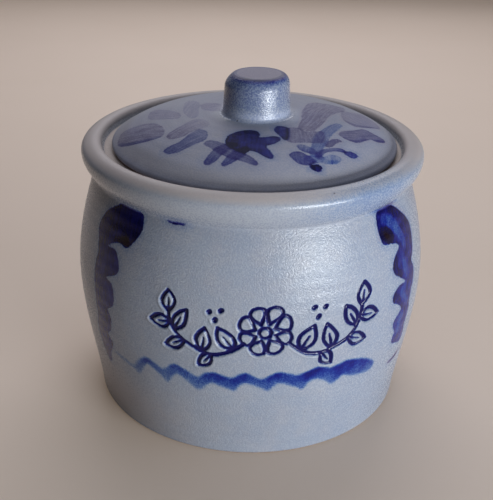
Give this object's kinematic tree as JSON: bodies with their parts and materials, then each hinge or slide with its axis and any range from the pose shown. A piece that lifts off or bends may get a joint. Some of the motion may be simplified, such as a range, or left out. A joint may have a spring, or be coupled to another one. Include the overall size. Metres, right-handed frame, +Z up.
{
  "type": "lidded stoneware cheese crock",
  "caption": "Round stoneware cheese crock with a barrel belly, a rolled rim with a sunk ledge inside it, and a low domed drop-in lid with a drum knob.",
  "frame": {"origin": "centre of the base, on the surface that the crock stands on", "axes": "+Z up through the middle of the jar, which is round about it; -Y towards the decorated front; +X to the viewer's right of that front"},
  "size_m": [0.1882, 0.1882, 0.1759],
  "materials": {
    "jar_salt_glaze": "salt-glazed grey-blue stoneware with a fine orange-peel surface, satin gloss, cobalt-blue brushwork",
    "lid_salt_glaze": "lightly salt-glazed grey stoneware, satin, with violet-grey and cobalt-blue brushed leaves",
    "knob_cobalt_glaze": "speckled cobalt-blue salt glaze, glossy, over grey stoneware"
  },
  "bodies": {
    "crock": {"crock_body": "jar_salt_glaze"},
    "lid": {"lid": "lid_salt_glaze", "lid_knob": "knob_cobalt_glaze"}
  },
  "joints": [
    {"name": "lid_lift", "type": "slide", "parent": "crock", "child": "lid", "axis": [0, 0, 1], "range_m": [0, 0.12]}
  ]
}
